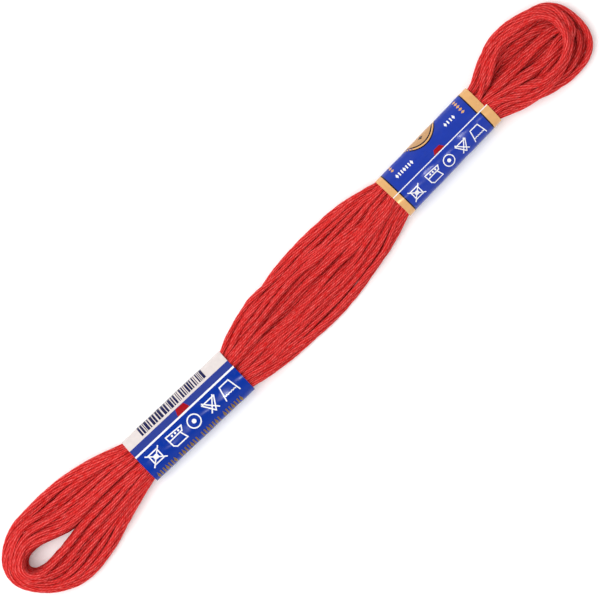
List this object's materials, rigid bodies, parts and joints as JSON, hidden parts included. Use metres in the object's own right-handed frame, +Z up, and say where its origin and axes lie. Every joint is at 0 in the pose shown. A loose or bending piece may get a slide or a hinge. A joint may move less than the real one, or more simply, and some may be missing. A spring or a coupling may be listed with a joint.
{
  "type": "skein of embroidery floss",
  "caption": "Pull skein of stranded cotton floss: a ring of thread folded in half, with an open loop at one end and two paper bands round its middle.",
  "frame": {"origin": "under the middle of the skein, at the surface that it lies on", "axes": "+X along the skein from the fold end, which has the open loop, to the head; +Z up from the surface; +Y across the skein"},
  "size_m": [0.1638, 0.0204, 0.0067],
  "materials": {
    "floss": "six-strand mercerised cotton, soft silky sheen",
    "band_upper_paper": "thin printed paper, semi-gloss, blue with gold edges",
    "band_lower_paper": "thin printed paper, semi-gloss, blue with a pale panel"
  },
  "bodies": {
    "root": {"floss": "floss", "band_upper": "band_upper_paper", "band_lower": "band_lower_paper"}
  },
  "joints": []
}
